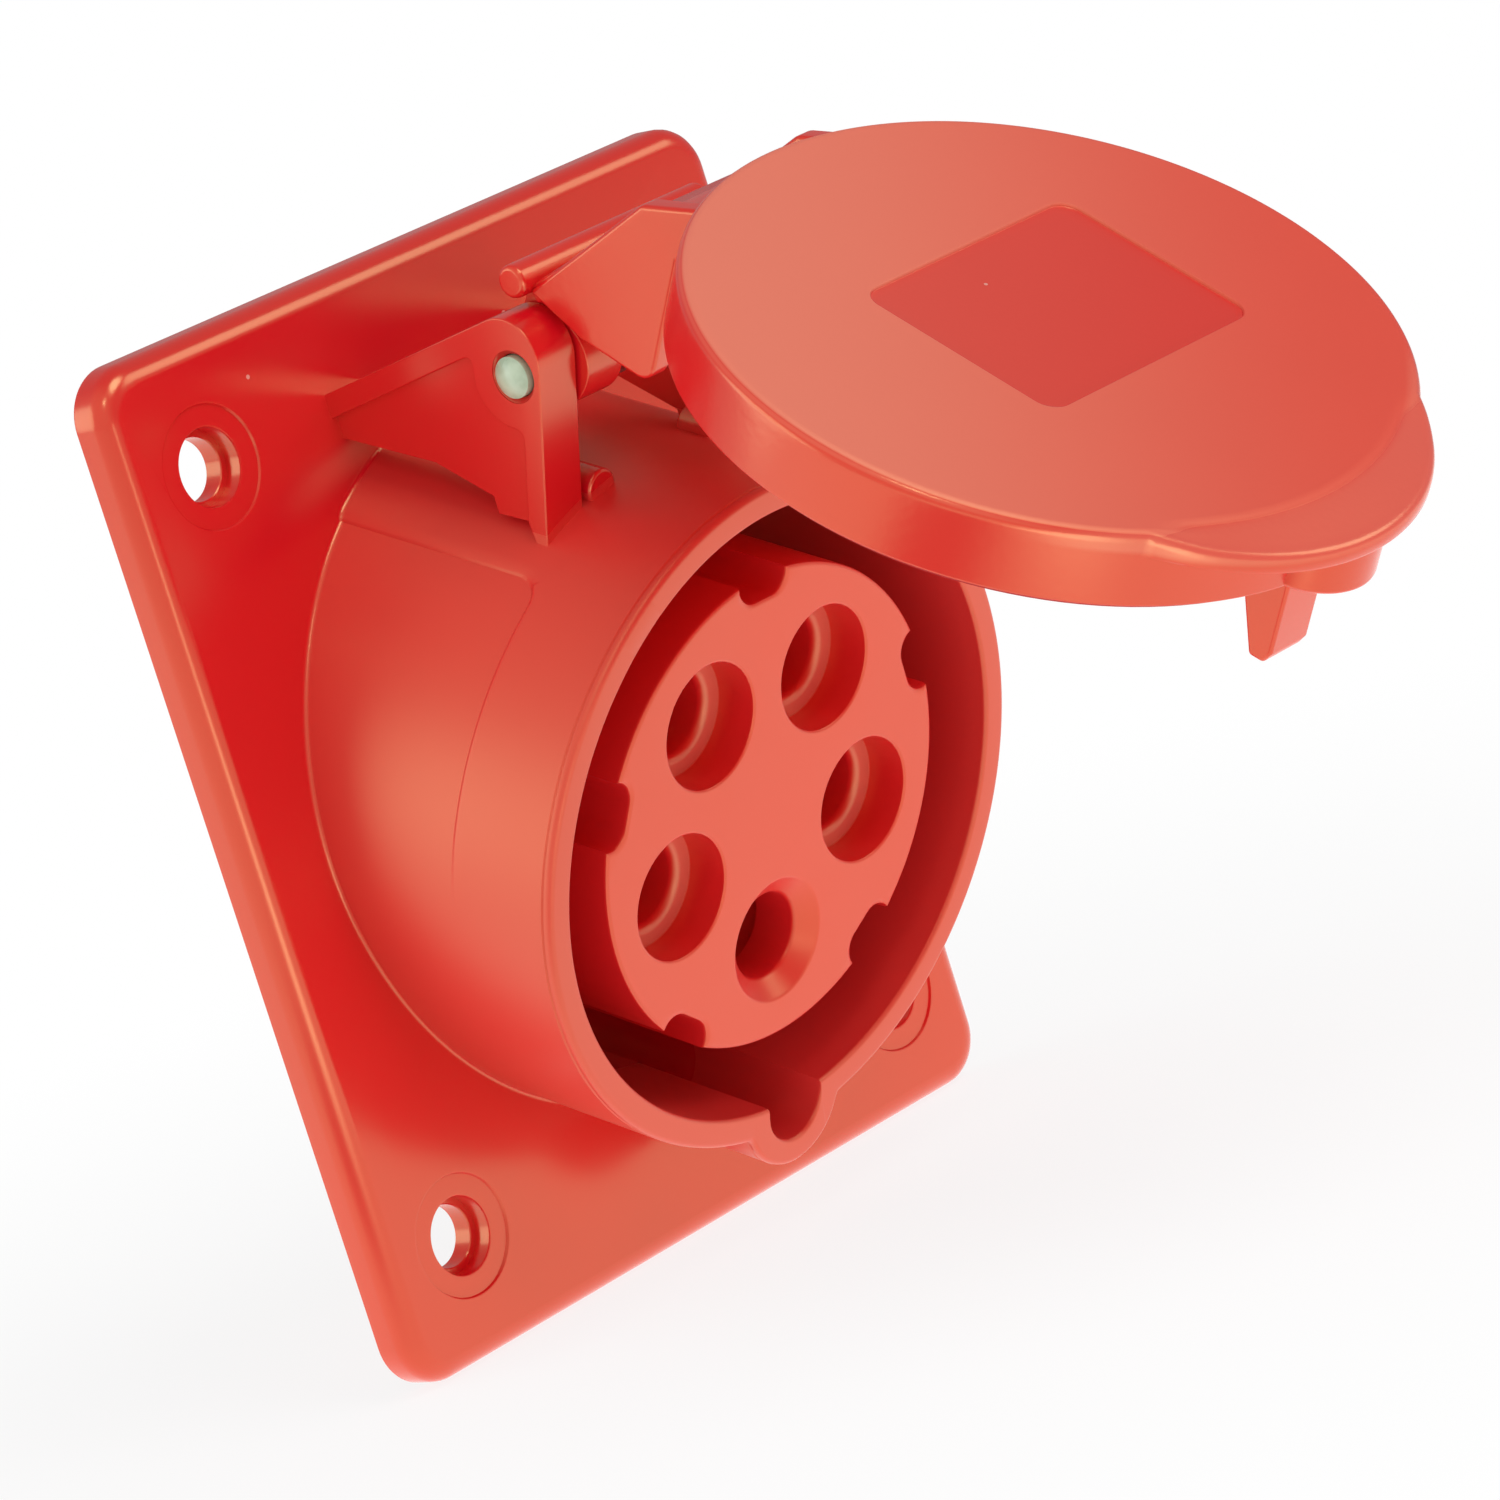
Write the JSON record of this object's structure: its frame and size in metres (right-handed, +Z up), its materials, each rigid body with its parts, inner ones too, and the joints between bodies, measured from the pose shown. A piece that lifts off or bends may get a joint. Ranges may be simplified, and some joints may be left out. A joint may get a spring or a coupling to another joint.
{
  "type": "panel socket outlet",
  "caption": "Inclined industrial socket outlet: flanged panel housing with a round shrouded mouth, brass pin contacts on a ring and a sprung hinged lid.",
  "frame": {"origin": "centre of the flange's back face, midway between the four fixing holes", "axes": "+X to the right seen from the front, +Y into the panel, +Z up"},
  "size_m": [0.084, 0.1337, 0.1018],
  "materials": {
    "housing": "glossy moulded red",
    "seals": "matte black",
    "contact_carrier": "satin moulded red",
    "terminal_plate": "matte dark red",
    "contacts": "turned",
    "spring_rings": "bright spring steel",
    "screws": "zinc plated",
    "lid": "fine-grained moulded red",
    "lid_spring": "drawn wire",
    "hinge_pin": "pale green, glossy"
  },
  "bodies": {
    "body": {"housing": "housing", "flange_seal": "seals", "contact_carrier": "contact_carrier", "carrier_core": "contact_carrier", "carrier_disc": "terminal_plate", "terminal_plate": "terminal_plate", "contact_l1": "contacts", "contact_l2": "contacts", "contact_l3": "contacts", "contact_n": "contacts", "contact_earth": "contacts", "ring_l1": "spring_rings", "ring_l2": "spring_rings", "ring_l3": "spring_rings", "ring_n": "spring_rings", "ring_earth": "spring_rings", "terminal_screws": "screws", "plate_screws": "screws", "lid_spring": "lid_spring", "hinge_pin": "hinge_pin"},
    "lid": {"lid": "lid", "lid_seal": "seals"}
  },
  "joints": [
    {"name": "lid_hinge", "type": "hinge", "parent": "body", "child": "lid", "pos_m": [0, -0.02961, 0.03852], "axis": [-1, 0, 0], "range_deg": [-74, 16], "deforming": ["lid_spring"]}
  ]
}
